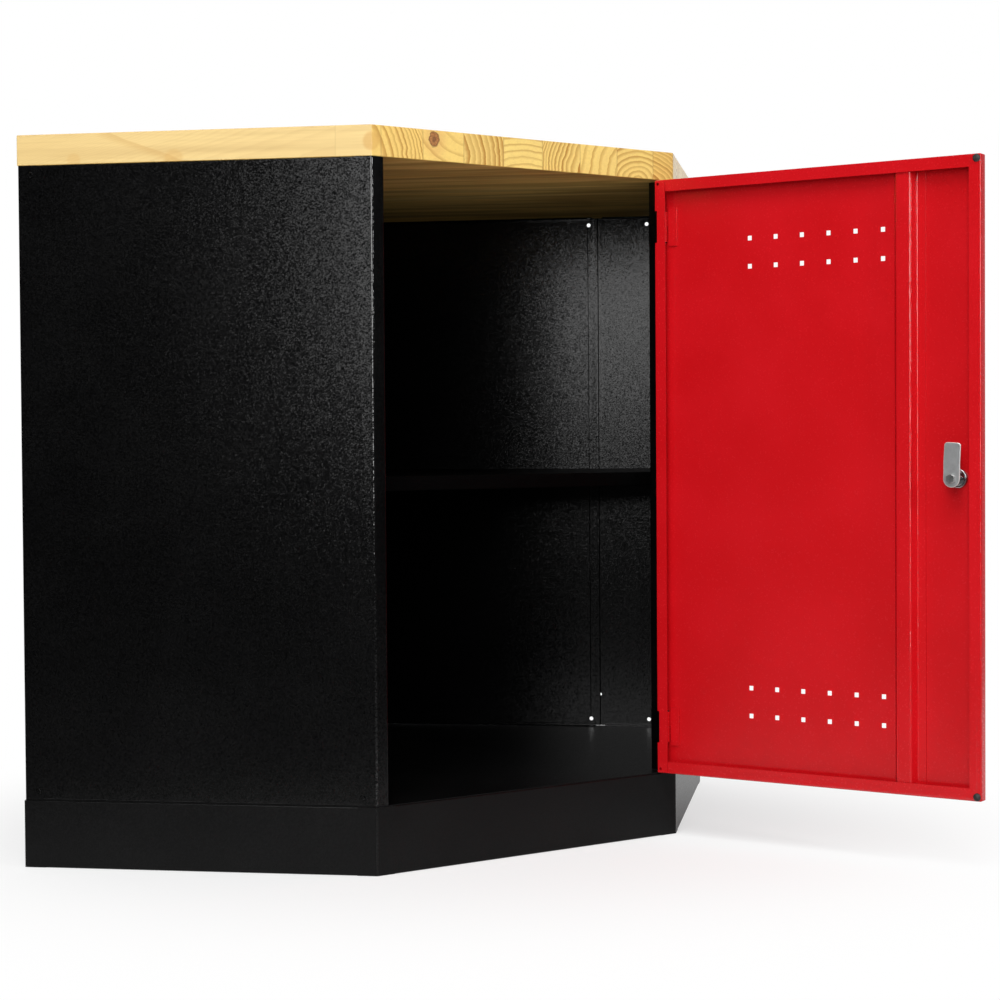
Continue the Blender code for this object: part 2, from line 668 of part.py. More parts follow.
def lock(steel, dark_steel, group, cutters, pivot):
    """Cam lock: housing through the skin, ring nut behind it, and a plug that turns the cam."""
    axis = Vector((LOCK_ACROSS, 0.0, DOOR_MIDDLE))
    bore = LOCK_PLUG + RUNNING_GAP
    front_face = SKIN_OUT + SEAT + LOCK_FLANGE_THICKNESS
    barrel_end = CAM_NEAR + SEAT
    chamfer = LOCK_FLANGE_THICKNESS / 3
    housing = [(bore, front_face), (LOCK_FLANGE - chamfer, front_face), (LOCK_FLANGE, front_face - chamfer),
               (LOCK_FLANGE, SKIN_OUT + SEAT), (LOCK_BARREL, SKIN_OUT + SEAT), (LOCK_BARREL, barrel_end),
               (bore, barrel_end)]
    turned("lock_housing", housing, True, 32, dark_steel, group, pivot, axis)
    nut_top = SKIN_IN - SEAT
    nut_low = nut_top - LOCK_NUT_THICKNESS
    nut_bore = LOCK_BARREL + FIT
    ease = LOCK_NUT_THICKNESS / 4
    nut = [(nut_bore, nut_top), (LOCK_NUT, nut_top), (LOCK_NUT, nut_low + ease), (LOCK_NUT - ease, nut_low),
           (nut_bore, nut_low)]
    turned("lock_nut", nut, True, 32, steel, group, pivot, axis)

    cam_pivot = bpy.data.objects.new("cam_pivot", None)
    cam_pivot.location = axis
    cam_pivot.rotation_euler = (0.0, CAM_TILT, 0.0)
    cam_pivot.parent = pivot
    group.objects.link(cam_pivot)

    bm = bmesh.new()
    rod(bm, LOCK_PLUG, (0.0, barrel_end, 0.0), (0.0, front_face - SEAT, 0.0), 28)
    plug = add("lock_plug", bm, steel, group, cam_pivot)
    bm = bmesh.new()
    box(bm, (-TANG / 2, CAM_FAR + SEAT, -TANG / 2), (TANG / 2, barrel_end + SHEET, TANG / 2))
    boolean(plug, tool_object("plug_tang", bm, cutters, cam_pivot), "UNION")
    bm = bmesh.new()
    keyway_low = (-KEYWAY_WIDTH / 2, front_face - KEYWAY_DEPTH, -KEYWAY_HEIGHT / 2)
    box(bm, keyway_low, (KEYWAY_WIDTH / 2, front_face + SHEET, KEYWAY_HEIGHT / 2))
    rod(bm, CAM_BOLT_SHANK + FIT, (0.0, CAM_FAR - SHEET, 0.0), (0.0, barrel_end + 2 * SHEET, 0.0), 16)
    boolean(plug, tool_object("plug_cuts", bm, cutters, cam_pivot), "DIFFERENCE")

    cam(steel, group, cutters, cam_pivot)

    bm = bmesh.new()
    head_near = CAM_FAR - SEAT
    rod(bm, CAM_BOLT_HEAD, (0.0, head_near - CAM_BOLT_HEIGHT, 0.0), (0.0, head_near, 0.0), 6)
    bolt = add("cam_bolt", bm, steel, group, cam_pivot)
    bm = bmesh.new()
    rod(bm, CAM_BOLT_SHANK, (0.0, head_near - SHEET, 0.0), (0.0, barrel_end + SHEET, 0.0), 16)
    boolean(bolt, tool_object("bolt_shank", bm, cutters, cam_pivot), "UNION")


def cam(finish, group, cutters, cam_pivot):
    """Cranked strip with a round foot and eased tip corners, pointing up when the door is unlocked."""
    half = CAM_WIDTH / 2
    tip = CAM_NEAR - CAM_CRANK
    runs = (-half, CRANK_START, CRANK_END, CAM_REACH)
    depths = (CAM_NEAR, CAM_NEAR, tip, tip)
    bm = bmesh.new()
    rows = wall(bm, [Vector((depth, run)) for run, depth in zip(runs, depths)], (-half, half))
    foot = [row[0] for row in rows]
    end = [row[-1] for row in rows]
    bmesh.ops.bevel(bm, geom=foot, offset=half * 0.98, segments=6, profile=0.5, affect="VERTICES")
    bmesh.ops.bevel(bm, geom=end, offset=CAM_CORNER, segments=4, profile=0.5, affect="VERTICES")
    # The strip was drawn with its run along Y and its width along Z
    upright = Matrix(((0, 0, 1, 0), (1, 0, 0, 0), (0, 1, 0, 0), (0, 0, 0, 1)))
    bmesh.ops.transform(bm, matrix=upright, verts=bm.verts)
    strip = add("lock_cam", bm, finish, group, cam_pivot)
    thicken(strip, CAM_SHEET, -1.0)
    bm = bmesh.new()
    eye = TANG / 2 + FIT
    box(bm, (-eye, CAM_FAR - SHEET, -eye), (eye, CAM_NEAR + SHEET, eye))
    boolean(strip, tool_object("cam_eye", bm, cutters, cam_pivot), "DIFFERENCE")


def build():
    clear_scene()
    parts = collection(PARTS)
    cutters = collection(CUTTERS)
    pine = material("pine", (0.78, 0.56, 0.29), 0.45, 0.0)
    black = material("black_powder_coat", (0.012, 0.012, 0.013), 0.45, 0.0)
    red = material("red_powder_coat", (0.56, 0.010, 0.016), 0.40, 0.0)
    zinc = material("zinc_plated_steel", (0.62, 0.62, 0.60), 0.35, 1.0)
    chrome = material("dull_chrome", (0.45, 0.45, 0.46), 0.30, 1.0)
    rubber = material("black_rubber", (0.020, 0.020, 0.020), 0.60, 0.0)

    worktop(pine, parts)
    side_panels(black, parts, cutters)
    rear_panels(black, parts, cutters)
    floor_panel(black, parts)
    shelf(black, parts)
    shelf_brackets(black, parts)
    plinth(black, parts)

    pivot = door_pivot(parts)
    door_pan(red, parts, cutters, pivot)
    door_stiffener(red, parts, pivot)
    hinges(red, black, zinc, parts, pivot)
    bumpers(rubber, parts, pivot)
    lock(zinc, chrome, parts, cutters, pivot)


build()
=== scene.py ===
"""Looks of the corner storage cabinet: pine worktop, black and red powder-coated sheet steel, cam lock.

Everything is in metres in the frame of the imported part, whose origin is the room corner at floor level.
"""

import json
from collections import namedtuple
from math import radians, sin
from types import SimpleNamespace

import bmesh
import bpy
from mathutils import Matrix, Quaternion, Vector


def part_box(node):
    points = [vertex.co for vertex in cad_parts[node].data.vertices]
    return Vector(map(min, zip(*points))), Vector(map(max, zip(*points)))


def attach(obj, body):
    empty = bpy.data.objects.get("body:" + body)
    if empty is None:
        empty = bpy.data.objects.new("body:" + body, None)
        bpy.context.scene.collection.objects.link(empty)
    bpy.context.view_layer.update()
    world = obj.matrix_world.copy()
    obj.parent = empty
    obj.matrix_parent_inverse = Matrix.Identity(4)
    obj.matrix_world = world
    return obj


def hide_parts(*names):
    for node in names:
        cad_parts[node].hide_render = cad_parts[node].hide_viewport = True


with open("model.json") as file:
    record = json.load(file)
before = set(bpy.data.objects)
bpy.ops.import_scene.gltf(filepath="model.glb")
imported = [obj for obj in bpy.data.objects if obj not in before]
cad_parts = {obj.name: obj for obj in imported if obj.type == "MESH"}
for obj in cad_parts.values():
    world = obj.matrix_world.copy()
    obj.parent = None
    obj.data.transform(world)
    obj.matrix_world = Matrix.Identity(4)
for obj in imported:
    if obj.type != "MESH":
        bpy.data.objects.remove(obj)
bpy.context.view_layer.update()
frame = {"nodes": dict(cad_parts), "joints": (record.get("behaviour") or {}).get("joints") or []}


def other_side(point):
    """The matching point or direction across the cabinet's symmetry plane."""
    return Vector((-point.y, -point.x, point.z))


# Places read from the frame; on the slanting front, X less Y comes to FRONT_SUM
WORKTOP_LOW, WORKTOP_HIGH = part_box("worktop")
WORKTOP_MIDDLE = (WORKTOP_LOW.z + WORKTOP_HIGH.z) / 2
WALL_LENGTH = WORKTOP_HIGH.x
FRONT_SUM = max(vertex.co.x - vertex.co.y for vertex in frame["nodes"]["worktop"].data.vertices)
PANEL_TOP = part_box("left_side_panel")[1].z
HINGE_AXIS = next(Vector(joint["pos_m"]) for joint in frame["joints"] if joint["name"] == "door_hinge")

# Ways that the sheets on the lock side face, and the ways that the bends between them face
UP = Vector((0.0, 0.0, 1.0))
SIDE_OUT = Vector((0.0, -1.0, 0.0))
FRONT_OUT = Vector((1.0, -1.0, 0.0)).normalized()
FRONT_FOLD = (SIDE_OUT + FRONT_OUT).normalized()
FOOT_FOLD = (SIDE_OUT - UP).normalized()
PLINTH_FOLDS = [(way + UP).normalized() for way in (SIDE_OUT, FRONT_OUT, other_side(SIDE_OUT))]

# Faces of a folded sheet narrower than this and at least so long are bends or cut edges
BEND_WIDTH = 0.0025
BEND_LENGTH = 0.015
FOLD_MATCH = 0.93

# How the nodes' triangles are joined up, shaded and rounded; angles in degrees
MERGE_DISTANCE = 0.00002
FLAT_ANGLE = 0.5
SHARP_ANGLE = 50.0
EASED_ANGLE = 40.0
LEAF_EASE = 0.0005
NUT_EASE = 0.0005
CAM_EASE = 0.0007

# Body screws: heads, and how far in and how high each one sits on a side panel
SCREW_HEAD = 0.0075
SCREW_RISE = 0.0022
SCREW_CROSS = 0.0012
SCREW_CROSS_DEPTH = 0.0012
SCREW_CROSS_REACH = 1.05
SCREW_SIDES = 24
SCREW_STEPS = 5
SCREW_DOME = 0.5
SCREW_SHARP_ANGLE = 35.0
SIDE_SCREWS = ((0.0172, 0.8605), (0.0190, 0.0955), (0.4320, 0.0951))

# Smaller screws that hold the worktop, in a row under the top flange of each rear wall
SHEET = 0.001
TOP_SCREW_HEAD = 0.0050
TOP_SCREW_RISE = 0.0012
TOP_SCREW_FIRST = 0.132
TOP_SCREW_PITCH = 0.122
TOP_SCREW_INSET = 0.0105

# Red knuckles of the post leaves, and the tape under the worktop
KNUCKLE_REACH = 0.0055
TAPE_INSET = 0.020
TAPE_NEAR = 0.0004
TAPE_FAR = 0.0014
TAPE_LAP = 0.00003

# Worktop timber: staves, finger joints, glue lines
STAVE = 0.0430
FIRST_STAVE = 0.0525
STAVE_LENGTH = 0.42
STAVE_SHIFT = 0.618
FIRST_JOINT = 0.3973
FINGER_PITCH = 0.0075
FINGER_LENGTH = 0.009
SEAM_WIDTH = 0.0009
JOINT_WIDTH = 0.0008
GLUE_CORE = 0.0002

# Spans that bring a stave's values between nought and one in a colour ramp
PITH_SPAN = 0.5
SPACING_SPAN = 0.02
TIGHTENING_SPAN = 0.2

# Knots: place and radius; resin on the long edge: run, height, radius and strength, and a slanting band
KNOTS = ((0.5145, -0.7205, 0.8985, 0.0076), (0.18, -0.33, 0.910, 0.008), (0.55, -0.12, 0.910, 0.006),
         (0.33, -0.62, 0.910, 0.0055), (0.27, -0.25, 0.872, 0.005))
KNOT_SQUASH = 0.78
RESIN_SPOTS = ((0.4500, 0.8900, 0.0110, 0.55), (0.2020, 0.8745, 0.0130, 0.30), (0.0740, 0.8765, 0.0090, 0.25))
BAND_SLOPE = 0.36
BAND_LEVEL = 0.9507

# Colours of the timber
EARLY_ALONG = (0.840, 0.710, 0.370)
EARLY_ACROSS = (0.950, 0.735, 0.225)
LATE_ALONG = (0.500, 0.270, 0.080)
LATE_ACROSS = (0.450, 0.195, 0.020)
WARM_STAVE = (0.860, 0.480, 0.090)
DARK_STAVE = (0.60, 0.38, 0.13)
CLOUDED_WOOD = (0.72, 0.45, 0.16)
FIBRE_LINES = (0.45, 0.26, 0.08)
STREAKS = (0.42, 0.23, 0.07)
UNDERSIDE = (0.84, 0.50, 0.085)
UNDERSIDE_PATCHES = (0.36, 0.21, 0.045)
END_PORES = (0.40, 0.22, 0.05)
RESIN_BAND = (0.62, 0.36, 0.105)
RESIN = (0.66, 0.36, 0.085)
KNOT_STAIN = (0.66, 0.33, 0.11)
KNOT_DARK = (0.260, 0.085, 0.022)
KNOT_LIGHT = (0.460, 0.190, 0.060)
KNOT_HEART = (0.110, 0.040, 0.014)
GLUE = (0.36, 0.20, 0.06)

# Colours of the coats, darkest and lightest
BLACK_COLORS = ((0.0018, 0.0018, 0.0019), (0.0026, 0.0026, 0.0027))
# The darker pair is painted shade, for the shelf and for the bends of the rear walls
PAINTED_SHADE_COLORS = ((0.0007, 0.0007, 0.0007), (0.0011, 0.0011, 0.0011))
RED_COLORS = ((0.580, 0.0048, 0.0085), (0.620, 0.0062, 0.0112))
RUBBER_COLORS = ((0.020, 0.018, 0.018), (0.055, 0.048, 0.048))
GRAIN_ROUGHNESS = 0.18

# Camera fitted to the photograph
CAMERA_PLACE = Vector((1.0250, -3.3357, 0.5244))
CAMERA_LOOKS = Vector((-0.1629, 0.9863, -0.0261))
CAMERA_ROLL = radians(-0.388)
CAMERA_LENS = 77.74
SENSOR = 36.0

# Surroundings
WHITE = (1.0, 1.0, 1.0, 1.0)
FLOOR_RADIUS = 2.4
FLOOR_SIDES = 96
FLOOR_PLACE = Vector((0.45, -0.5, -0.0005))
FLOOR_COLORS = ((0.90, 0.90, 0.90), (0.94, 0.94, 0.94))
FLOOR_BOUNCE = (0.68, 0.68, 0.68)
UNDER_EDGE = 0.008
BRIGHT_SIDE = Vector((0.30, 0.95, 0.08)).normalized()


# Node helpers

def feed(tree, node, inputs):
    """Link or set inputs of a node."""
    for key, value in inputs.items():
        if isinstance(value, bpy.types.NodeSocket):
            tree.links.new(value, node.inputs[key])
        else:
            node.inputs[key].default_value = value


def put(tree, kind, inputs=None, **settings):
    """New node, with its settings, and its inputs set or linked."""
    node = tree.nodes.new(kind)
    for name, value in settings.items():
        setattr(node, name, value)
    feed(tree, node, inputs or {})
    return node


def calc(tree, operation, *values):
    """Result of a Math node."""
    return put(tree, "ShaderNodeMath", dict(enumerate(values)), operation=operation).outputs[0]


def vector(tree, operation, *values):
    """Vector that a Vector Math node works out."""
    return put(tree, "ShaderNodeVectorMath", dict(enumerate(values)), operation=operation).outputs["Vector"]


def measure(tree, operation, *values):
    """Single value that a Vector Math node works out."""
    return put(tree, "ShaderNodeVectorMath", dict(enumerate(values)), operation=operation).outputs["Value"]


def split(tree, value):
    """The three parts of a vector, by name."""
    return put(tree, "ShaderNodeSeparateXYZ", {0: value}).outputs


def joined(tree, *parts):
    """Vector of up to three parts, the rest nought."""
    return put(tree, "ShaderNodeCombineXYZ", dict(enumerate(parts))).outputs[0]


def blend(tree, share, first, second, kind="RGBA"):
    """Result of a Mix node of colours or of values."""
    part = {"RGBA": "Color", "FLOAT": "Float"}[kind]
    node = put(tree, "ShaderNodeMix", data_type=kind, clamp_factor=True)
    sockets = {socket.identifier: socket for socket in node.inputs}
    for identifier, value in (("Factor_Float", share), ("A_" + part, first), ("B_" + part, second)):
        if isinstance(value, bpy.types.NodeSocket):
            tree.links.new(value, sockets[identifier])
        else:
            sockets[identifier].default_value = (*value, 1.0) if isinstance(value, tuple) else value
    return next(socket for socket in node.outputs if socket.identifier == "Result_" + part)


def ease(tree, value, low, high, start=0.0, end=1.0):
    """Smooth step of a value between two limits."""
    limits = {"Value": value, "From Min": low, "From Max": high, "To Min": start, "To Max": end}
    return put(tree, "ShaderNodeMapRange", limits, interpolation_type="SMOOTHSTEP").outputs["Result"]


def noise(tree, place, scale, detail):
    """Value of a noise with so many lumps to the metre."""
    return put(tree, "ShaderNodeTexNoise", {"Vector": place, "Scale": scale, "Detail": detail}).outputs[0]


def stretched_noise(tree, place, scales, detail):
    """Value of a noise with its own lumps to the metre along each axis."""
    return noise(tree, vector(tree, "MULTIPLY", place, scales), 1.0, detail)


def lot(tree, first, second):
    """Value drawn for a pair of whole numbers."""
    pair = joined(tree, first, second)
    return put(tree, "ShaderNodeTexWhiteNoise", {"Vector": pair}, noise_dimensions="2D").outputs["Value"]


def bump(tree, height, distance, strength):
    """Normal of a surface with these heights."""
    inputs = {"Height": height, "Distance": distance, "Strength": strength}
    return put(tree, "ShaderNodeBump", inputs).outputs[0]


def object_place(tree):
    """Where a point lies in its object."""
    return put(tree, "ShaderNodeTexCoord").outputs["Object"]


def shader_material(name):
    """New material; returns it with its tree and its Principled shader."""
    made = bpy.data.materials.new(name)
    made.use_nodes = True
    return made, made.node_tree, made.node_tree.nodes["Principled BSDF"]


def node_group(kind, name, inputs, outputs):
    """New node group with these sockets; returns its tree, what comes in and the node it goes out by."""
    tree = bpy.data.node_groups.new(name, kind)
    for label, socket_type, value in inputs:
        socket = tree.interface.new_socket(label, in_out="INPUT", socket_type=socket_type)
        if value is not None:
            socket.default_value = value
    for label, socket_type in outputs:
        tree.interface.new_socket(label, in_out="OUTPUT", socket_type=socket_type)
    return tree, put(tree, "NodeGroupInput").outputs, put(tree, "NodeGroupOutput")


# Shared surface effects

def make_powder_peel():
    """Fine grained skin of a baked powder coat: each grain's tilt and value, and how the colour wanders."""
    tree, source, result = node_group(
        "ShaderNodeTree", "powder_peel",
        [("Place", "NodeSocketVector", None), ("Grains per metre", "NodeSocketFloat", 480.0)],
        [("Tilt", "NodeSocketVector"), ("Grain", "NodeSocketFloat"), ("Wander", "NodeSocketFloat")])
    grains = source["Grains per metre"]
    cells = put(tree, "ShaderNodeTexVoronoi", {"Vector": source["Place"], "Scale": grains}, feature="F1")
    drawn = cells.outputs["Color"]
    feed(tree, result, {
        "Tilt": vector(tree, "SUBTRACT", drawn, (0.5, 0.5, 0.5)),
        "Grain": put(tree, "ShaderNodeSeparateColor", {0: drawn}).outputs["Red"],
        "Wander": noise(tree, source["Place"], calc(tree, "MULTIPLY", grains, 0.013), 3.0)})
    return tree


def make_metal_haze():
    """Cloudy plating with faint drawn lines: a shade, a roughness and a height that change over the metal."""
    tree, source, result = node_group(
        "ShaderNodeTree", "metal_haze",
        [("Place", "NodeSocketVector", None), ("Lines per metre", "NodeSocketFloat", 2400.0)],
        [("Shade", "NodeSocketFloat"), ("Roughness", "NodeSocketFloat"), ("Height", "NodeSocketFloat")])
    clouds = noise(tree, source["Place"], 130.0, 3.0)
    drawn_out = vector(tree, "MULTIPLY", source["Place"], (1.0, 1.0, 0.06))
    lines = noise(tree, drawn_out, source["Lines per metre"], 2.0)
    rough_lines = calc(tree, "MULTIPLY_ADD", lines, 0.10, 0.02)
    feed(tree, result, {
        "Shade": calc(tree, "MULTIPLY_ADD", clouds, 0.6, calc(tree, "MULTIPLY", lines, 0.4)),
        "Roughness": calc(tree, "MULTIPLY_ADD", clouds, 0.20, rough_lines),
        "Height": lines})
    return tree


POWDER_PEEL = make_powder_peel()
METAL_HAZE = make_metal_haze()


# Coats, metals and rubber

def powder_coat(name, colors, roughness, specular, tilt, speckle, grains, gloss=0.0):
    """Powder-coated steel: grains that each lean their own way, with their own gloss and shade."""
    made, tree, shader = shader_material(name)
    settings = {"Place": object_place(tree), "Grains per metre": grains}
    peel = put(tree, "ShaderNodeGroup", settings, node_tree=POWDER_PEEL).outputs
    color = blend(tree, ease(tree, peel["Wander"], 0.35, 0.65), *colors)
    shade = calc(tree, "MULTIPLY_ADD", peel["Grain"], speckle, 1.0 - speckle / 2)
    smoothest, roughest = roughness
    flat = put(tree, "ShaderNodeNewGeometry").outputs["Normal"]
    leaning = vector(tree, "MULTIPLY_ADD", peel["Tilt"], (tilt, tilt, tilt), flat)
    feed(tree, shader, {
        "Base Color": vector(tree, "MULTIPLY", color, shade),
        "Roughness": calc(tree, "MULTIPLY_ADD", peel["Grain"], roughest - smoothest, smoothest),
        "Normal": vector(tree, "NORMALIZE", leaning),
        "Specular IOR Level": specular})
    if gloss:
        feed(tree, shader, {"Coat Weight": calc(tree, "MULTIPLY", peel["Grain"], gloss),
                            "Coat Roughness": GRAIN_ROUGHNESS})
    return made


def plated_metal(name, low_color, high_color, metallic, dullness):
    """Plated steel with cloudy gloss and faint drawn lines."""
    made, tree, shader = shader_material(name)
    haze = put(tree, "ShaderNodeGroup", {"Place": object_place(tree)}, node_tree=METAL_HAZE).outputs
    feed(tree, shader, {
        "Base Color": blend(tree, haze["Shade"], low_color, high_color),
        "Roughness": calc(tree, "ADD", haze["Roughness"], dullness),
        "Normal": bump(tree, haze["Height"], 0.00002, 0.3),
        "Metallic": metallic})
    return made


def rubber():
    """Moulded black rubber, a little dusty."""
    made, tree, shader = shader_material("moulded_rubber")
    place = object_place(tree)
    grain = noise(tree, place, 1800.0, 3.0)
    dust = noise(tree, place, 240.0, 2.0)
    feed(tree, shader, {
        "Base Color": blend(tree, ease(tree, dust, 0.4, 0.7), *RUBBER_COLORS),
        "Roughness": ease(tree, grain, 0.2, 0.8, 0.5, 0.75),
        "Normal": bump(tree, grain, 0.00006, 0.4)})
    return made


# Pine

Stave = namedtuple("Stave", "pith_across pith_up spacing tightening tone dark_share drift warmth")


def stave_table():
    """Staves from the lock side: where the pith lies from the middle, how far apart the rings are, how they
    tighten, then tone, share of dark wood in a ring, drift of the pith along the stave, and warmth."""
    staves = [Stave(-0.085, -0.022, 0.0046, 0.065, 0.45, 0.45, 0.25, 0.45),
              Stave(0.030, 0.035, 0.0140, 0.0, 0.75, 0.08, 0.03, 0.35),
              Stave(-0.140, -0.020, 0.0056, 0.012, 0.30, 0.95, -0.04, 0.20),
              Stave(0.004, -0.055, 0.0080, 0.0, 0.80, 0.22, 0.02, 0.15),
              Stave(0.085, -0.014, 0.0044, 0.055, 0.40, 0.70, -0.03, 0.25),
              Stave(0.058, -0.014, 0.0100, 0.0, 0.75, 0.22, 0.04, 0.25),
              Stave(0.004, -0.022, 0.0064, 0.0, 0.60, 0.50, 0.02, 0.32),
              Stave(-0.050, -0.055, 0.0050, 0.0, 0.75, 0.90, 0.03, 0.60)]
    count = int((WALL_LENGTH - FIRST_STAVE) / STAVE) + 2
    for row in range(len(staves), count):
        staves.append(Stave(pith_across=0.09 * sin(2.4 * row),
                            pith_up=-0.03 - 0.04 * abs(sin(1.7 * row)),
                            spacing=0.0062 + 0.002 * sin(3.3 * row),
                            tightening=0.0,
                            tone=0.55 + 0.3 * sin(5.1 * row),
                            dark_share=0.4 + 0.3 * sin(4.3 * row),
                            drift=0.05 * sin(7.7 * row),
                            warmth=0.3 + 0.25 * sin(2.9 * row)))
    return staves


def stave_ramp(tree, share, rows):
    """Four values of each stave, told by a stepped ramp."""
    ramp = put(tree, "ShaderNodeValToRGB", {0: share})
    ramp.color_ramp.interpolation = "CONSTANT"
    stops = ramp.color_ramp.elements
    for index, row in enumerate(rows):
        stop = stops[index] if index < len(stops) else stops.new(index / len(rows))
        stop.position = index / len(rows)
        stop.color = row
    told = put(tree, "ShaderNodeSeparateColor", {0: ramp.outputs["Color"]}).outputs
    return told["Red"], told["Green"], told["Blue"], ramp.outputs["Alpha"]


def timber_point(tree):
    """Where a point of the worktop lies, which way its face looks, and how its grain wanders."""
    coordinates = put(tree, "ShaderNodeTexCoord").outputs
    place = coordinates["Object"]
    facing = split(tree, coordinates["Normal"])
    return SimpleNamespace(
        place=place,
        axes=split(tree, place),
        end_grain=ease(tree, calc(tree, "ABSOLUTE", facing["X"]), 0.3, 0.6),
        level=ease(tree, calc(tree, "ABSOLUTE", facing["Z"]), 0.3, 0.6),
        below=ease(tree, facing["Z"], -0.3, -0.6),
        sway=calc(tree, "SUBTRACT", stretched_noise(tree, place, (3.0, 22.0, 30.0), 3.0), 0.5),
        ripple=calc(tree, "SUBTRACT", stretched_noise(tree, place, (9.0, 110.0, 150.0), 2.0), 0.5),
        fibre=stretched_noise(tree, place, (14.0, 420.0, 420.0), 3.0))


def stave_at(tree, point):
    """Which stave a point lies in, where in it, and what the table says of that stave."""
    from_edge = calc(tree, "ADD", point.axes["Y"], WALL_LENGTH - FIRST_STAVE)
    count = calc(tree, "MULTIPLY_ADD", from_edge, 1.0 / STAVE, 1.0)
    number = calc(tree, "MAXIMUM", calc(tree, "FLOOR", count), 0.0)
    middle = calc(tree, "MULTIPLY", calc(tree, "SUBTRACT", number, 0.5), STAVE)
    table = stave_table()
    share = calc(tree, "DIVIDE", calc(tree, "ADD", number, 0.5), len(table))
    pith_across, pith_up, spacing, tightening = stave_ramp(tree, share, [
        (0.5 + row.pith_across / PITH_SPAN, 0.5 + row.pith_up / PITH_SPAN, row.spacing / SPACING_SPAN,
         row.tightening / TIGHTENING_SPAN) for row in table])
    tone, dark_share, drift, warmth = stave_ramp(tree, share, [
        (row.tone, row.dark_share, 0.5 + row.drift, row.warmth) for row in table])
    return SimpleNamespace(
        count=count,
        number=number,
        across=calc(tree, "SUBTRACT", from_edge, middle),
        up=calc(tree, "SUBTRACT", point.axes["Z"], WORKTOP_MIDDLE),
        pith_across=calc(tree, "MULTIPLY_ADD", pith_across, PITH_SPAN, -PITH_SPAN / 2),
        pith_up=calc(tree, "MULTIPLY_ADD", pith_up, PITH_SPAN, -PITH_SPAN / 2),
        spacing=calc(tree, "MULTIPLY", spacing, SPACING_SPAN),
        tightening=calc(tree, "MULTIPLY", tightening, TIGHTENING_SPAN),
        tone=tone,
        dark_share=dark_share,
        drift=calc(tree, "SUBTRACT", drift, 0.5),
        warmth=warmth)


def length_at(tree, point, stave):
    """Which finger-jointed length of a stave a point lies in, counted along X, and what luck it drew."""
    shift = calc(tree, "FRACT", calc(tree, "MULTIPLY", stave.number, STAVE_SHIFT))
    shift = calc(tree, "MULTIPLY", shift, STAVE_LENGTH)
    fingers = calc(tree, "PINGPONG", calc(tree, "DIVIDE", stave.across, FINGER_PITCH), 1.0)
    run = calc(tree, "ADD", point.axes["X"], calc(tree, "MULTIPLY_ADD", fingers, FINGER_LENGTH, shift))
    run = calc(tree, "SUBTRACT", run, FIRST_JOINT + FINGER_LENGTH)
    count = calc(tree, "DIVIDE", run, STAVE_LENGTH)
    number = calc(tree, "FLOOR", count)
    return SimpleNamespace(count=count, number=number, luck=lot(tree, stave.number, number))


def late_wood(tree, point, stave, length):
    """Share of late wood in growth rings round a pith that drifts away from the stave's slanting end."""
    from_front = calc(tree, "SUBTRACT", calc(tree, "SUBTRACT", point.axes["X"], point.axes["Y"]), FRONT_SUM)
    side = calc(tree, "SUBTRACT", stave.across, stave.pith_across)
    pith_up = calc(tree, "MULTIPLY_ADD", stave.drift, from_front, stave.pith_up)
    radius = measure(tree, "LENGTH", joined(tree, side, calc(tree, "SUBTRACT", stave.up, pith_up)))
    radius = calc(tree, "MULTIPLY_ADD", point.sway, 0.010, radius)
    radius = calc(tree, "MULTIPLY_ADD", point.ripple, 0.0016, radius)
    usual = measure(tree, "LENGTH", joined(tree, stave.pith_across, stave.pith_up))
    years = calc(tree, "DIVIDE", calc(tree, "SUBTRACT", radius, usual), stave.spacing)
    years = calc(tree, "MULTIPLY_ADD", calc(tree, "MULTIPLY", years, years), stave.tightening, years)
    years = calc(tree, "MULTIPLY_ADD", length.number, 0.37, years)
    year = calc(tree, "FRACT", years)
    season = lot(tree, stave.number, calc(tree, "FLOOR", years))
    onset = calc(tree, "MULTIPLY_ADD", stave.dark_share, -0.65, 0.72)
    late = calc(tree, "MULTIPLY", ease(tree, year, onset, 0.95), ease(tree, year, 1.0, 0.965))
    strength = ease(tree, stave.dark_share, 0.0, 0.5, 0.45, 1.0)
    late = calc(tree, "MULTIPLY", calc(tree, "POWER", late, 0.6), strength)
    return calc(tree, "MULTIPLY", late, calc(tree, "MULTIPLY_ADD", season, 0.55, 0.45))


def sound_wood(tree, point, stave, length, late):
    """Colour of sound wood, on faces along the grain and across it."""
    early = blend(tree, point.end_grain, EARLY_ALONG, EARLY_ACROSS)
    early = blend(tree, calc(tree, "MULTIPLY", stave.warmth, 0.8), early, WARM_STAVE)
    paleness = calc(tree, "MULTIPLY_ADD", length.luck, 0.4, calc(tree, "MULTIPLY", stave.tone, 0.6))
    early = blend(tree, ease(tree, paleness, 0.1, 0.9, 0.18, 0.0), early, DARK_STAVE)
    cloud = stretched_noise(tree, point.place, (5.0, 30.0, 30.0), 2.0)
    early = blend(tree, ease(tree, cloud, 0.35, 0.7, 0.0, 0.14), early, CLOUDED_WOOD)
    dark = blend(tree, point.end_grain, LATE_ALONG, LATE_ACROSS)
    depth = blend(tree, point.level, 0.14, 0.38, kind="FLOAT")
    depth = blend(tree, point.end_grain, depth, 0.95, kind="FLOAT")
    wood = blend(tree, calc(tree, "MULTIPLY", late, depth), early, dark)
    return blend(tree, ease(tree, point.fibre, 0.40, 0.80, 0.0, 0.14), wood, FIBRE_LINES)


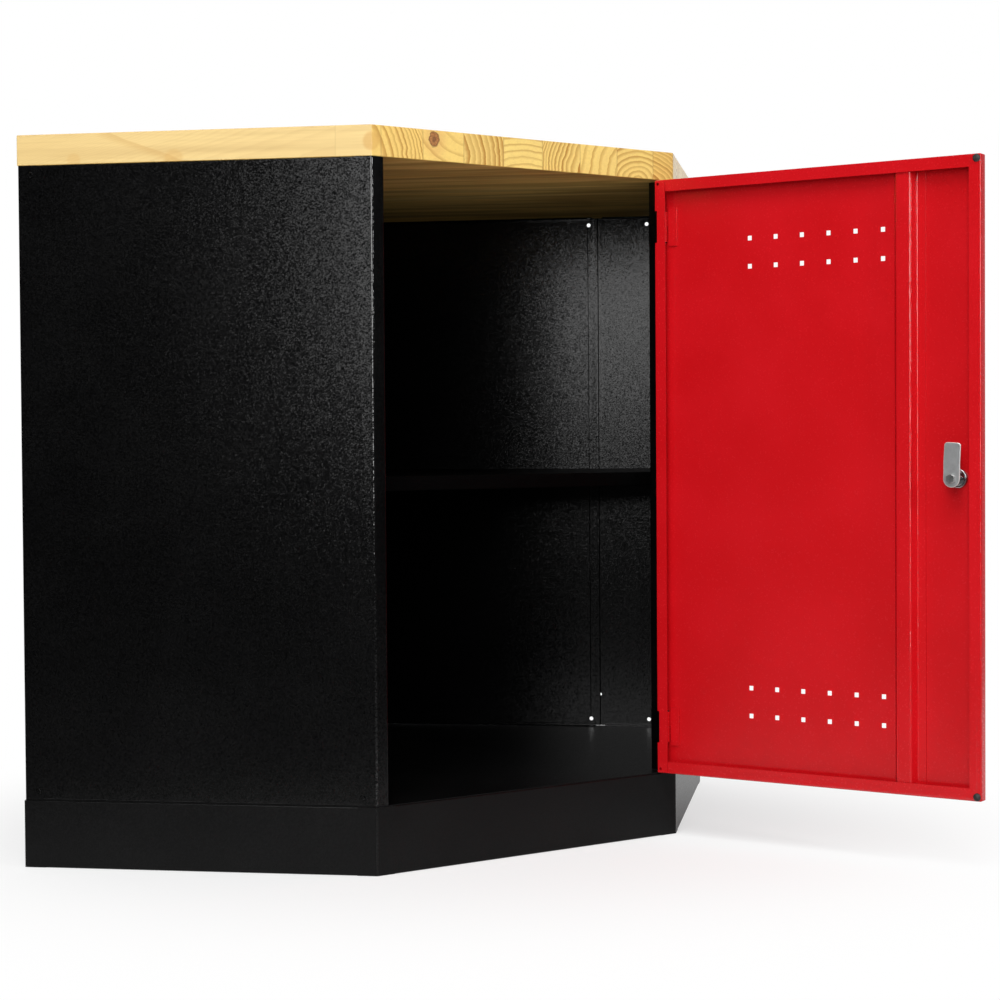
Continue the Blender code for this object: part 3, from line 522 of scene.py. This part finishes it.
def streaked(tree, point, length, wood):
    """Streaks along the grain, and an underside that is warmer and patchy."""
    streak = stretched_noise(tree, point.place, (2.2, 75.0, 75.0), 3.0)
    along = calc(tree, "SUBTRACT", 1.0, point.end_grain)
    streak = calc(tree, "MULTIPLY", ease(tree, streak, 0.42, 0.68, 0.0, 0.20), along)
    streak = calc(tree, "MULTIPLY", streak, calc(tree, "MULTIPLY_ADD", point.below, 2.2, 1.0))
    wood = blend(tree, streak, wood, STREAKS)
    wood = blend(tree, calc(tree, "MULTIPLY", point.below, 0.55), wood, UNDERSIDE)
    broad = stretched_noise(tree, point.place, (3.5, 30.0, 30.0), 2.0)
    broad = ease(tree, broad, 0.38, 0.62, 0.0, 0.60)
    broad = calc(tree, "ADD", broad, calc(tree, "MULTIPLY", length.luck, 0.25))
    return blend(tree, calc(tree, "MULTIPLY", broad, point.below), wood, UNDERSIDE_PATCHES)


def banded(tree, point, wood):
    """A band of resin that slants down the long edge, and pores in the end grain."""
    above = calc(tree, "SUBTRACT", point.axes["Z"], BAND_LEVEL)
    slant = calc(tree, "MULTIPLY_ADD", point.axes["X"], BAND_SLOPE, above)
    slant = calc(tree, "MULTIPLY_ADD", point.sway, 0.018, slant)
    band = calc(tree, "MULTIPLY", ease(tree, slant, -0.011, -0.001), ease(tree, slant, 0.0012, 0.0))
    long_edge = calc(tree, "SUBTRACT", 1.0, calc(tree, "MAXIMUM", point.level, point.end_grain))
    band = calc(tree, "MULTIPLY", band, long_edge)
    wood = blend(tree, calc(tree, "MULTIPLY", band, 0.40), wood, RESIN_BAND)
    pores = stretched_noise(tree, point.place, (300.0, 900.0, 900.0), 2.0)
    pores = calc(tree, "MULTIPLY", ease(tree, pores, 0.5, 0.8, 0.0, 0.18), point.end_grain)
    return blend(tree, pores, wood, END_PORES)


def knotted(tree, point, wood):
    """Knots: balls of dark, swirling wood with a stained halo, a dark ring and a dark heart."""
    knot = 0.0
    halo = 0.0
    heart = 0.0
    squashed = vector(tree, "MULTIPLY", point.place, (1.0, 1.0, KNOT_SQUASH))
    for x, y, z, size in KNOTS:
        away = measure(tree, "DISTANCE", squashed, (x, y, z * KNOT_SQUASH))
        away = calc(tree, "MULTIPLY_ADD", point.ripple, size * 0.8, away)
        knot = calc(tree, "MAXIMUM", knot, ease(tree, away, size * 1.08, size * 0.88))
        halo = calc(tree, "MAXIMUM", halo, ease(tree, away, size * 3.2, size))
        ring = ease(tree, away, size * 0.72, size * 0.92)
        ring = calc(tree, "MULTIPLY", ring, ease(tree, away, size * 1.12, size))
        core = ease(tree, away, size * 0.45, size * 0.2)
        heart = calc(tree, "MAXIMUM", heart, calc(tree, "MAXIMUM", ring, core))
    wood = blend(tree, calc(tree, "MULTIPLY", halo, 0.35), wood, KNOT_STAIN)
    whorl = ease(tree, noise(tree, point.place, 620.0, 3.0), 0.35, 0.65)
    wood = blend(tree, calc(tree, "MULTIPLY", knot, 0.92), wood, blend(tree, whorl, KNOT_DARK, KNOT_LIGHT))
    return blend(tree, calc(tree, "MULTIPLY", heart, 0.50), wood, KNOT_HEART)


def resin_spotted(tree, point, wood):
    """Spots of resin on the long edge."""
    for run, height, size, strength in RESIN_SPOTS:
        away = measure(tree, "DISTANCE", point.place, (run, -WALL_LENGTH, height))
        away = calc(tree, "MULTIPLY_ADD", point.sway, size * 0.7, away)
        wood = blend(tree, ease(tree, away, size * 1.15, size * 0.75, 0.0, strength), wood, RESIN)
    return wood


def glue_line(tree, count, spacing, width):
    """Mask of the glue between pieces that are counted off at a spacing."""
    off_middle = calc(tree, "ABSOLUTE", calc(tree, "SUBTRACT", calc(tree, "FRACT", count), 0.5))
    return ease(tree, off_middle, 0.5 - width / spacing, 0.5 - GLUE_CORE / spacing)


def pine():
    """Edge-glued pine: staves along X with finger joints, growth rings round each stave's own pith, knots."""
    made, tree, shader = shader_material("edge_glued_pine")
    point = timber_point(tree)
    stave = stave_at(tree, point)
    length = length_at(tree, point, stave)
    late = late_wood(tree, point, stave, length)
    wood = sound_wood(tree, point, stave, length, late)
    wood = streaked(tree, point, length, wood)
    wood = banded(tree, point, wood)
    wood = knotted(tree, point, wood)
    wood = resin_spotted(tree, point, wood)
    seams = calc(tree, "MULTIPLY", glue_line(tree, stave.count, STAVE, SEAM_WIDTH), 0.35)
    joints = calc(tree, "MULTIPLY", glue_line(tree, length.count, STAVE_LENGTH, JOINT_WIDTH), 0.18)
    wood = blend(tree, calc(tree, "MAXIMUM", seams, joints), wood, GLUE)
    rough = blend(tree, late, 0.50, 0.40, kind="FLOAT")
    rough = blend(tree, point.below, rough, 0.85, kind="FLOAT")
    height = calc(tree, "MULTIPLY_ADD", late, 0.5, calc(tree, "MULTIPLY", point.fibre, 0.6))
    feed(tree, shader, {
        "Base Color": wood,
        "Roughness": blend(tree, point.end_grain, rough, 0.58, kind="FLOAT"),
        "Normal": bump(tree, height, 0.00012, 0.35),
        "Specular IOR Level": 0.35,
        "Coat Weight": calc(tree, "MULTIPLY", point.end_grain, 0.6),
        "Coat Roughness": 0.18})
    return made


# Materials

BLACK = powder_coat("black_powder_coat", BLACK_COLORS, roughness=(0.11, 0.18), specular=0.17, tilt=0.105,
                    speckle=1.0, grains=850.0, gloss=0.45)
BLACK_SATIN = powder_coat("satin_black_powder_coat", BLACK_COLORS, roughness=(0.30, 0.40), specular=0.20,
                          tilt=0.05, speckle=1.0, grains=900.0)
# Darker, duller copy of the black coat: painted shade on the shelf and on the bends of the rear walls
BLACK_PAINTED_SHADE = powder_coat("black_powder_coat_painted_shade", PAINTED_SHADE_COLORS, roughness=(0.40, 0.55), specular=0.02,
                         tilt=0.05, speckle=1.0, grains=900.0)
BLACK_BEND = powder_coat("black_powder_coat_on_bends", BLACK_COLORS, roughness=(0.05, 0.12), specular=1.0,
                         tilt=0.12, speckle=1.0, grains=720.0)
RED = powder_coat("red_powder_coat", RED_COLORS, roughness=(0.18, 0.28), specular=0.35, tilt=0.03,
                  speckle=0.03, grains=640.0)
RED_BEND = powder_coat("red_powder_coat_on_bends", RED_COLORS, roughness=(0.06, 0.16), specular=1.0,
                       tilt=0.24, speckle=0.04, grains=900.0)
ZINC = plated_metal("bright_zinc", (0.40, 0.41, 0.41), (0.80, 0.81, 0.82), metallic=0.72, dullness=0.20)
# Light, half-metallic zinc for the rounded edges of the cam, plug and bolt: the sheared metal, with a painted
# highlight along each rim
ZINC_EDGE_HIGHLIGHT = plated_metal("sheared_zinc_painted_highlight", (0.86, 0.84, 0.82), (0.95, 0.93, 0.91), metallic=0.50, dullness=0.16)
BOLT_ZINC = plated_metal("dark_zinc", (0.22, 0.22, 0.22), (0.50, 0.50, 0.50), metallic=0.80, dullness=0.12)
CHROME = plated_metal("satin_chrome", (0.30, 0.30, 0.31), (0.55, 0.55, 0.56), metallic=1.0, dullness=0.0)
RUBBER = rubber()
PINE = pine()


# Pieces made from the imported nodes

def placed(name, data):
    """New object in the scene."""
    made = bpy.data.objects.new(name, data)
    bpy.context.scene.collection.objects.link(made)
    return made


def joined_up_mesh(node, name, material):
    """Copy of a node's mesh with its triangles joined up, smooth but for its sharp edges."""
    bm = bmesh.new()
    bm.from_mesh(frame["nodes"][node].data)
    bmesh.ops.remove_doubles(bm, verts=bm.verts, dist=MERGE_DISTANCE)
    bmesh.ops.dissolve_limit(bm, angle_limit=radians(FLAT_ANGLE), verts=bm.verts, edges=bm.edges)
    mesh = bpy.data.meshes.new(name)
    bm.to_mesh(mesh)
    bm.free()
    mesh.materials.append(material)
    mesh.shade_smooth()
    mesh.set_sharp_from_angle(angle=radians(SHARP_ANGLE))
    return mesh


def paint_bends(mesh, bends):
    """Coat bends apart: each entry is a material and the ways its bends face, or no ways for every bend."""
    for index, (material, folds) in enumerate(bends, start=1):
        mesh.materials.append(material)
        for face in mesh.polygons:
            corners = [mesh.vertices[vertex].co for vertex in face.vertices]
            reach = max((start - end).length for start, end in zip(corners, corners[1:] + corners[:1]))
            narrow = reach > BEND_LENGTH and face.area / reach < BEND_WIDTH
            if narrow and (not folds or any(face.normal.dot(fold) > FOLD_MATCH for fold in folds)):
                face.material_index = index


def round_edges(piece, width, edge_material):
    """Rounded edges, with a material of their own where one is given."""
    rounding = piece.modifiers.new("eased_edges", "BEVEL")
    rounding.width = width
    rounding.segments = 2
    rounding.limit_method = "ANGLE"
    rounding.angle_limit = radians(EASED_ANGLE)
    if edge_material:
        piece.data.materials.append(edge_material)
        rounding.material = len(piece.data.materials) - 1


def dressed(node, name, material, body, eased=0.0, edge_material=None, bends=()):
    """Finished piece that stands for a node."""
    mesh = joined_up_mesh(node, name, material)
    paint_bends(mesh, bends)
    piece = placed(name, mesh)
    if eased:
        round_edges(piece, eased, edge_material)
    even = piece.modifiers.new("even_shading", "WEIGHTED_NORMAL")
    even.keep_sharp = True
    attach(piece, body)
    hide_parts(node)
    return piece


def black_sheet(node, material, bends=()):
    """Black sheet of the cabinet."""
    return dressed(node, node + "_coated", material, "cabinet", bends=bends)


def dress_cabinet():
    """Black sheets of the cabinet, and its worktop."""
    for node in ("left_rear_shelf_bracket", "right_rear_shelf_bracket", "left_side_shelf_bracket",
                 "right_side_shelf_bracket", "left_plinth_channel", "right_plinth_channel"):
        black_sheet(node, BLACK)
    # Bends and cut edges of the rear walls take the darker black: a painted shade line along the joggle
    # between the walls
    for node in ("left_rear_panel", "right_rear_panel"):
        black_sheet(node, BLACK, [(BLACK_PAINTED_SHADE, ())])
    lit_folds = [FRONT_FOLD, FOOT_FOLD]
    black_sheet("left_side_panel", BLACK, [(BLACK_BEND, lit_folds)])
    black_sheet("right_side_panel", BLACK, [(BLACK_BEND, [other_side(fold) for fold in lit_folds])])
    # Shelf in the darker, duller black, painted shade
    black_sheet("shelf", BLACK_PAINTED_SHADE)
    black_sheet("floor_panel", BLACK_SATIN)
    corners = [FRONT_FOLD, other_side(FRONT_FOLD)]
    black_sheet("plinth_skirt", BLACK_SATIN, [(BLACK_BEND, PLINTH_FOLDS), (BLACK, corners)])
    dressed("worktop", "pine_worktop", PINE, "cabinet")


def spray_knuckle(piece):
    """Red coat on the knuckle of a post leaf, which was sprayed with the door hung on it."""
    piece.data.materials.append(RED)
    for face in piece.data.polygons:
        if (face.center - HINGE_AXIS).xy.length < KNUCKLE_REACH:
            face.material_index = 1


def dress_door():
    """Hinges, bumpers, and the door's red sheets."""
    for level in ("lower", "upper"):
        spray_knuckle(black_sheet(level + "_hinge_post_leaf", BLACK))
        pin = level + "_hinge_pin"
        dressed(pin, pin + "_plated", ZINC, "cabinet")
        leaf = level + "_hinge_door_leaf"
        dressed(leaf, leaf + "_coated", RED, "door", eased=LEAF_EASE,
                edge_material=RED_BEND)
        bumper = level + "_bumper"
        dressed(bumper, bumper + "_moulded", RUBBER, "door")
    for node in ("door_pan", "door_stiffener"):
        dressed(node, node + "_coated", RED, "door", bends=[(RED_BEND, ())])


def dress_lock():
    """Cam lock: its housing and nut stay with the door, its plug, cam and bolt turn."""
    dressed("lock_housing", "lock_housing_plated", CHROME, "door")
    dressed("lock_nut", "lock_nut_plated", CHROME, "door", eased=NUT_EASE)
    # Their rounded edges take the light zinc, a painted highlight along each rim
    for node, metal in (("lock_plug", ZINC), ("lock_cam", ZINC), ("cam_bolt", BOLT_ZINC)):
        dressed(node, node + "_plated", metal, "lock_core", eased=CAM_EASE,
                edge_material=ZINC_EDGE_HIGHLIGHT)


# Pieces that only the visual model has

def sealing_tape():
    """Thin black tape that closes the gap between the worktop and the rear walls."""
    levels = (PANEL_TOP - TAPE_LAP, WORKTOP_LOW.z + TAPE_LAP)
    ends = (TAPE_INSET, WALL_LENGTH - TAPE_INSET)
    corners = [Vector((run, across, level)) for run in ends for across in (-TAPE_FAR, -TAPE_NEAR)
               for level in levels]
    strips = bmesh.new()
    for strip in (corners, [other_side(corner) for corner in corners]):
        bmesh.ops.convex_hull(strips, input=[strips.verts.new(corner) for corner in strip])
    mesh = bpy.data.meshes.new("sealing_tape")
    strips.to_mesh(mesh)
    strips.free()
    mesh.materials.append(RUBBER)
    piece = placed("sealing_tape", mesh)
    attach(piece, "cabinet")


def domed_head(tree, radius, height):
    """Head of a screw that stands on its point: a drum drawn in towards the top."""
    drum = put(tree, "GeometryNodeMeshCylinder", {"Vertices": SCREW_SIDES, "Side Segments": SCREW_STEPS,
                                                  "Radius": radius, "Depth": height})
    lift = joined(tree, 0.0, 0.0, calc(tree, "DIVIDE", height, 2.0))
    raised = put(tree, "GeometryNodeTransform", {"Geometry": drum.outputs["Mesh"], "Translation": lift})
    where = split(tree, put(tree, "GeometryNodeInputPosition").outputs[0])
    rise = calc(tree, "POWER", calc(tree, "DIVIDE", where["Z"], height), 2.0)
    width = calc(tree, "SQRT", calc(tree, "SUBTRACT", 1.0, calc(tree, "MULTIPLY", rise, SCREW_DOME)))
    drawn_in = joined(tree, calc(tree, "MULTIPLY", where["X"], width),
                      calc(tree, "MULTIPLY", where["Y"], width), where["Z"])
    head = put(tree, "GeometryNodeSetPosition", {"Geometry": raised.outputs[0], "Position": drawn_in})
    return head.outputs[0]


def crossing_bars(tree, reach, width, depth, height):
    """Two crossing bars, sunk to a depth into the top of a head."""
    bars = put(tree, "GeometryNodeJoinGeometry")
    thickness = calc(tree, "MULTIPLY", depth, 2.0)
    for long_x, long_y in ((reach, width), (width, reach)):
        bar = put(tree, "GeometryNodeMeshCube", {"Size": joined(tree, long_x, long_y, thickness)})
        sunk = put(tree, "GeometryNodeTransform", {"Geometry": bar.outputs["Mesh"],
                                                   "Translation": joined(tree, 0.0, 0.0, height)})
        tree.links.new(sunk.outputs[0], bars.inputs[0])
    return bars.outputs[0]


def make_screw_tree():
    """Pan-head screws with a cross recess, one at each point, looking along its facing."""
    tree, source, result = node_group(
        "GeometryNodeTree", "pan_head_screws",
        [("Points", "NodeSocketGeometry", None), ("Head Diameter", "NodeSocketFloat", SCREW_HEAD),
         ("Head Height", "NodeSocketFloat", SCREW_RISE), ("Cross Width", "NodeSocketFloat", SCREW_CROSS),
         ("Cross Depth", "NodeSocketFloat", SCREW_CROSS_DEPTH), ("Material", "NodeSocketMaterial", None)],
        [("Geometry", "NodeSocketGeometry")])
    height = source["Head Height"]
    radius = calc(tree, "DIVIDE", source["Head Diameter"], 2.0)
    reach = calc(tree, "MULTIPLY", radius, SCREW_CROSS_REACH)
    bars = crossing_bars(tree, reach, source["Cross Width"], source["Cross Depth"], height)
    meshes = {"Mesh 1": domed_head(tree, radius, height), "Mesh 2": bars, "Self Intersection": True}
    cut = put(tree, "GeometryNodeMeshBoolean", meshes, operation="DIFFERENCE", solver="EXACT")
    facing = put(tree, "GeometryNodeInputNamedAttribute", {"Name": "facing"}, data_type="FLOAT_VECTOR")
    turn = put(tree, "FunctionNodeAlignRotationToVector", {"Vector": facing.outputs[0]}, axis="Z")
    screws = put(tree, "GeometryNodeInstanceOnPoints", {
        "Points": source["Points"], "Instance": cut.outputs[0], "Rotation": turn.outputs[0]})
    real = put(tree, "GeometryNodeRealizeInstances", {0: screws.outputs[0]}).outputs[0]
    painted = put(tree, "GeometryNodeSetMaterial", {"Geometry": real, "Material": source["Material"]})
    tree.links.new(painted.outputs[0], result.inputs["Geometry"])
    return tree


def screws_at(name, tree, points, facings, sizes):
    """Plain mesh of the screws that the tree makes at these points."""
    base = bpy.data.meshes.new(name + "_points")
    base.from_pydata([tuple(point) for point in points], [], [])
    attribute = base.attributes.new("facing", "FLOAT_VECTOR", "POINT")
    for item, facing in zip(attribute.data, facings):
        item.vector = facing
    source = placed(name + "_source", base)
    modifier = source.modifiers.new("tree", "NODES")
    modifier.node_group = tree
    sockets = {item.name: item.identifier for item in tree.interface.items_tree if item.in_out == "INPUT"}
    for label, value in {**sizes, "Material": BLACK}.items():
        modifier[sockets[label]] = value
    evaluated = source.evaluated_get(bpy.context.evaluated_depsgraph_get())
    mesh = bpy.data.meshes.new_from_object(evaluated)
    mesh.name = name
    bpy.data.objects.remove(source)
    mesh.shade_smooth()
    mesh.set_sharp_from_angle(angle=radians(SCREW_SHARP_ANGLE))
    piece = placed(name, mesh)
    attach(piece, "cabinet")


def all_screws():
    """Black screws in the side panels, and the rows that hold the worktop from below."""
    tree = make_screw_tree()
    sizes = {"Head Diameter": SCREW_HEAD, "Head Height": SCREW_RISE, "Cross Width": SCREW_CROSS,
             "Cross Depth": SCREW_CROSS_DEPTH}
    points = [Vector((run, -WALL_LENGTH, height)) for run, height in SIDE_SCREWS]
    facings = [SIDE_OUT] * len(points) + [other_side(SIDE_OUT)] * len(points)
    points += [other_side(point) for point in points]
    screws_at("body_screws", tree, points, facings, sizes)
    count = int((WALL_LENGTH - TOP_SCREW_FIRST) / TOP_SCREW_PITCH) + 1
    points = [Vector((TOP_SCREW_INSET, -TOP_SCREW_FIRST - row * TOP_SCREW_PITCH, PANEL_TOP - SHEET))
              for row in range(count)]
    points += [other_side(point) for point in points]
    sizes.update({"Head Diameter": TOP_SCREW_HEAD, "Head Height": TOP_SCREW_RISE})
    screws_at("worktop_screws", tree, points, [-UP] * len(points), sizes)


# Stage, light and camera

def in_sight(tree, path):
    """One for rays straight from the camera or let through a surface, and nought for the rest."""
    return calc(tree, "MAXIMUM", path["Is Camera Ray"], path["Is Transmission Ray"])


def open_floor(tree, place):
    """Nought on the floor under the cabinet and one around it, told from the sides of the cabinet's plan."""
    axes = split(tree, vector(tree, "ADD", place, FLOOR_PLACE))
    inside = calc(tree, "MINIMUM", axes["X"], calc(tree, "MULTIPLY", axes["Y"], -1.0))
    inside = calc(tree, "MINIMUM", inside, calc(tree, "SUBTRACT", WALL_LENGTH, axes["X"]))
    inside = calc(tree, "MINIMUM", inside, calc(tree, "ADD", axes["Y"], WALL_LENGTH))
    front = calc(tree, "SUBTRACT", FRONT_SUM, calc(tree, "SUBTRACT", axes["X"], axes["Y"]))
    return ease(tree, calc(tree, "MINIMUM", inside, front), 0.0, UNDER_EDGE, 1.0, 0.0)


def pale_floor():
    """Floor that is white to the camera, with the cabinet's shadow near it, and dim to what it lights."""
    bpy.ops.mesh.primitive_circle_add(vertices=FLOOR_SIDES, radius=FLOOR_RADIUS, fill_type="NGON",
                                      location=FLOOR_PLACE)
    floor = bpy.context.object
    floor.name = "pale_floor"
    made, tree, shader = shader_material("pale_floor")
    place = object_place(tree)
    path = put(tree, "ShaderNodeLightPath").outputs
    behind = ease(tree, split(tree, place)["Y"], -0.2, 0.5)
    clear = calc(tree, "MULTIPLY", path["Is Glossy Ray"], behind)
    clear = calc(tree, "MAXIMUM", clear, in_sight(tree, path))
    clear = calc(tree, "MULTIPLY", clear, open_floor(tree, place))
    away = measure(tree, "LENGTH", place)
    dim = blend(tree, path["Is Glossy Ray"], FLOOR_BOUNCE, ease(tree, away, 0.45, 1.10, 0.75, 0.12))
    pale = blend(tree, noise(tree, place, 0.6, 2.0), *FLOOR_COLORS)
    feed(tree, shader, {"Base Color": blend(tree, clear, dim, pale), "Roughness": 0.9,
                        "Specular IOR Level": 0.0})
    fade = calc(tree, "MULTIPLY", ease(tree, away, 0.30, 0.95, 0.55, 1.0), clear)
    white = put(tree, "ShaderNodeEmission", {"Color": WHITE, "Strength": 1.0})
    mixed = put(tree, "ShaderNodeMixShader", {0: fade, 1: shader.outputs[0], 2: white.outputs[0]})
    tree.links.new(mixed.outputs[0], tree.nodes["Material Output"].inputs["Surface"])
    floor.data.materials.append(made)


def white_room():
    """World that is white to the camera, bright behind the cabinet and dim behind the camera."""
    world = bpy.data.worlds.new("white_room")
    bpy.context.scene.world = world
    world.use_nodes = True
    tree = world.node_tree
    tree.nodes.clear()
    path = put(tree, "ShaderNodeLightPath").outputs
    heading = put(tree, "ShaderNodeTexCoord").outputs["Generated"]
    soft = ease(tree, measure(tree, "DOT_PRODUCT", heading, BRIGHT_SIDE), -0.15, 0.75, 0.10, 0.9)
    mirrored = ease(tree, split(tree, heading)["Y"], 0.55, 0.95, 0.03, 1.0)
    level = blend(tree, path["Is Glossy Ray"], soft, mirrored, kind="FLOAT")
    level = calc(tree, "MAXIMUM", level, in_sight(tree, path))
    light = put(tree, "ShaderNodeBackground", {"Color": WHITE, "Strength": level})
    put(tree, "ShaderNodeOutputWorld", {"Surface": light.outputs[0]})


def lamp(name, place, target, size, power):
    """Soft lamp of a width and a height, in watts, turned to a target."""
    data = bpy.data.lights.new(name, "AREA")
    data.shape = "RECTANGLE"
    data.size, data.size_y = size
    data.energy = power
    made = placed(name, data)
    made.location = place
    made.rotation_mode = "QUATERNION"
    made.rotation_quaternion = (Vector(target) - Vector(place)).to_track_quat("-Z", "Y")


def photograph_camera():
    """Camera at the photograph's angle."""
    data = bpy.data.cameras.new("photograph_camera")
    data.lens = CAMERA_LENS
    data.sensor_width = SENSOR
    camera = placed("photograph_camera", data)
    camera.location = CAMERA_PLACE
    camera.rotation_mode = "QUATERNION"
    aim = CAMERA_LOOKS.to_track_quat("-Z", "Y")
    camera.rotation_quaternion = aim @ Quaternion(UP, CAMERA_ROLL)
    bpy.context.scene.camera = camera


dress_cabinet()
dress_door()
dress_lock()
sealing_tape()
all_screws()
pale_floor()
white_room()
lamp("key_softbox", (0.67, -5.04, 2.10), (0.50, -0.50, 0.50), (2.5, 3.0), 109.0)
lamp("top_softbox", (0.5, -3.0, 4.3), (0.6, -0.5, 0.5), (2.4, 2.4), 115.0)
lamp("right_strip", (3.6, -2.6, 1.9), (0.8, -0.5, 0.62), (0.3, 1.5), 30.0)
photograph_camera()
bpy.context.scene.view_settings.view_transform = "Standard"
